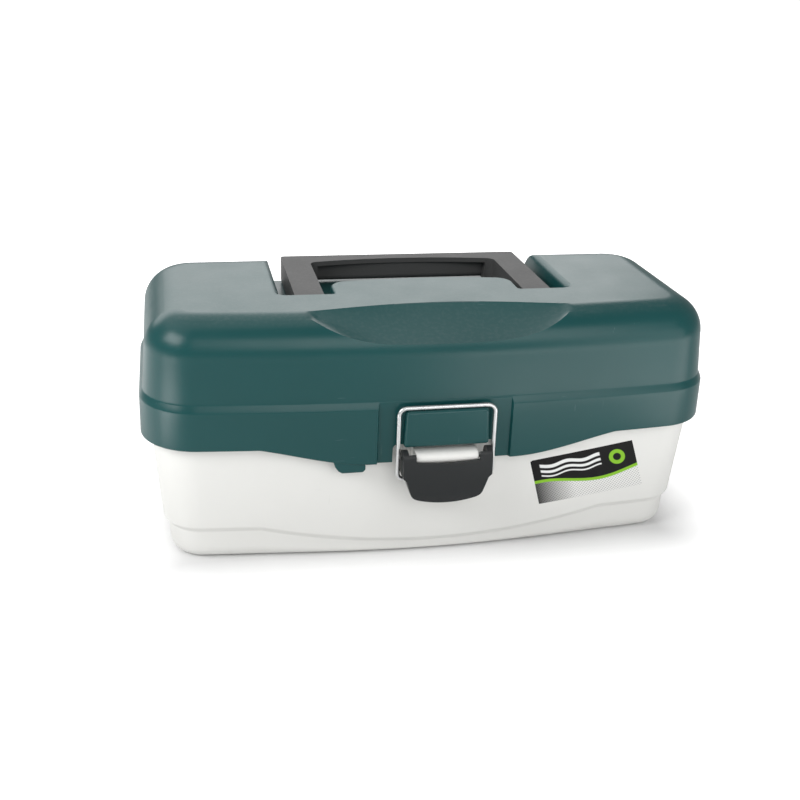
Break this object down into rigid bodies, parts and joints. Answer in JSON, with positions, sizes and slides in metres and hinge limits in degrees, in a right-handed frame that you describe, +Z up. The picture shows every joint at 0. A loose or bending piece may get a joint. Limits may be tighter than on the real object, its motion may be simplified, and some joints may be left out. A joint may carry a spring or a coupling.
{
  "type": "tackle box",
  "caption": "Moulded tackle box: tapered tub, hinged lid with a sunk folding handle, wire draw latch, and a cantilever tray that swings out as the lid opens.",
  "frame": {"origin": "on the ground, at the middle of the tub's flat foot", "axes": "+Z up, +X along the box towards its right end, -Y towards the front with the latch"},
  "size_m": [0.34, 0.1679, 0.151],
  "materials": {
    "tub_plastic": "fine moulded grain",
    "lid_plastic": "satin moulded",
    "handle_plastic": "satin moulded",
    "lever_plastic": "satin moulded",
    "tray_plastic": "satin moulded",
    "wire": "bright plated wire",
    "steel": "plain pin"
  },
  "bodies": {
    "base": {"tub": "tub_plastic", "hinge_pin_left": "steel", "hinge_pin_right": "steel", "latch_pin": "steel", "arm_pin_left": "steel", "arm_pin_right": "steel"},
    "lid": {"lid": "lid_plastic", "handle_pin_left": "handle_plastic", "handle_pin_right": "handle_plastic"},
    "handle": {"handle": "handle_plastic"},
    "lever": {"latch_lever": "lever_plastic"},
    "bail": {"latch_bail": "wire"},
    "tray": {"tray": "tray_plastic", "tray_pin_left": "steel", "tray_pin_right": "steel", "link_pin_left": "steel", "link_pin_right": "steel", "divider_1": "tray_plastic", "divider_2": "tray_plastic", "divider_3": "tray_plastic", "divider_4": "tray_plastic"},
    "arm_left": {"tray_arm_left": "handle_plastic"},
    "arm_right": {"tray_arm_right": "handle_plastic"}
  },
  "joints": [
    {"name": "lid_hinge", "type": "hinge", "parent": "base", "child": "lid", "pos_m": [0, 0.074, 0.0765], "axis": [-1, 0, 0], "range_deg": [0, 105]},
    {"name": "handle_hinge", "type": "hinge", "parent": "lid", "child": "handle", "pos_m": [0, -0.013, 0.1405], "axis": [1, 0, 0], "range_deg": [0, 95]},
    {"name": "lever_hinge", "type": "hinge", "parent": "base", "child": "lever", "pos_m": [0, -0.0835, 0.0725], "axis": [-1, 0, 0], "range_deg": [0, 100]},
    {"name": "bail_hinge", "type": "hinge", "parent": "lever", "child": "bail", "pos_m": [0, -0.0815, 0.059], "axis": [-1, 0, 0], "range_deg": [-131, 0]},
    {"name": "tray_hinge", "type": "hinge", "parent": "lid", "child": "tray", "pos_m": [0, 0.024, 0.0885], "axis": [-1, 0, 0], "range_deg": [-105.5, 0]},
    {"name": "arm_left_hinge", "type": "hinge", "parent": "base", "child": "arm_left", "pos_m": [-0.1585, 0.03, 0.0825], "axis": [-1, 0, 0], "range_deg": [0, 105.5]},
    {"name": "arm_right_hinge", "type": "hinge", "parent": "base", "child": "arm_right", "pos_m": [0.1585, 0.03, 0.0825], "axis": [-1, 0, 0], "range_deg": [0, 105.5]}
  ],
  "couplings": [
    {"joint": "bail_hinge", "follows": "lever_hinge", "ratio": -1.3},
    {"joint": "tray_hinge", "follows": "lid_hinge", "ratio": -1},
    {"joint": "arm_left_hinge", "follows": "lid_hinge", "ratio": 1},
    {"joint": "arm_right_hinge", "follows": "lid_hinge", "ratio": 1}
  ]
}
